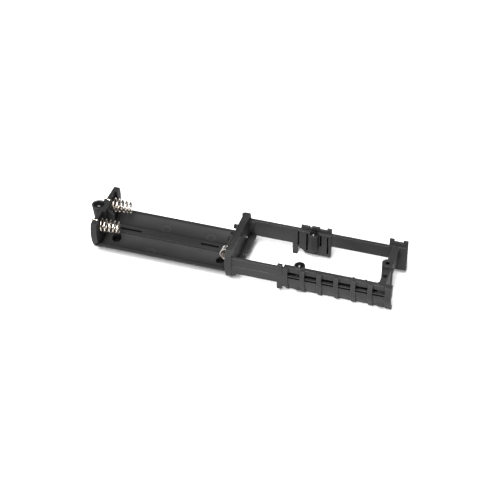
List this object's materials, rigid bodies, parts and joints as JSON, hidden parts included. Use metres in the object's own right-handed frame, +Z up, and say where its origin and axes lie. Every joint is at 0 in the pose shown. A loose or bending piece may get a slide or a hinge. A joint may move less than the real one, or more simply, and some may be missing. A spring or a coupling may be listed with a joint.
{
  "type": "battery tray chassis",
  "caption": "Open chassis of a slim hand-held device: a two-cell battery tray with end springs, fixed to an open circuit board frame with screw bosses.",
  "frame": {"origin": "middle of the box that encloses the chassis, on the plane its lowest lug stands on", "axes": "+X along the chassis from the battery tray to the open end of the board frame, +Z up out of the open battery channels"},
  "size_m": [0.114, 0.025, 0.0149],
  "materials": {
    "gloss_black": "moulded gloss",
    "matte_black": "fine moulded texture",
    "spring_wire": "bright nickel plated wire",
    "contact_metal": "nickel plated strip",
    "screw_black": "black plated steel"
  },
  "bodies": {
    "chassis": {"battery_tray": "gloss_black", "board_frame": "matte_black", "spring_link": "contact_metal", "positive_contact_plate": "contact_metal", "tray_end_screw": "screw_black", "front_board_screw": "screw_black", "rear_board_screw": "screw_black"},
    "front_spring": {"front_battery_spring": "spring_wire"},
    "rear_spring": {"rear_battery_spring": "spring_wire"},
    "negative_leaf": {"negative_contact_leaf": "contact_metal"}
  },
  "joints": [
    {"name": "front_spring_press", "type": "slide", "parent": "chassis", "child": "front_spring", "axis": [-1, 0, 0], "range_m": [0, 0.004], "stiffness_N_per_m": 400, "deforming": ["front_battery_spring"]},
    {"name": "rear_spring_press", "type": "slide", "parent": "chassis", "child": "rear_spring", "axis": [-1, 0, 0], "range_m": [0, 0.004], "stiffness_N_per_m": 400, "deforming": ["rear_battery_spring"]},
    {"name": "negative_leaf_press", "type": "slide", "parent": "chassis", "child": "negative_leaf", "axis": [1, 0, 0], "range_m": [0, 0.0016], "stiffness_N_per_m": 1500, "deforming": ["negative_contact_leaf"]}
  ]
}
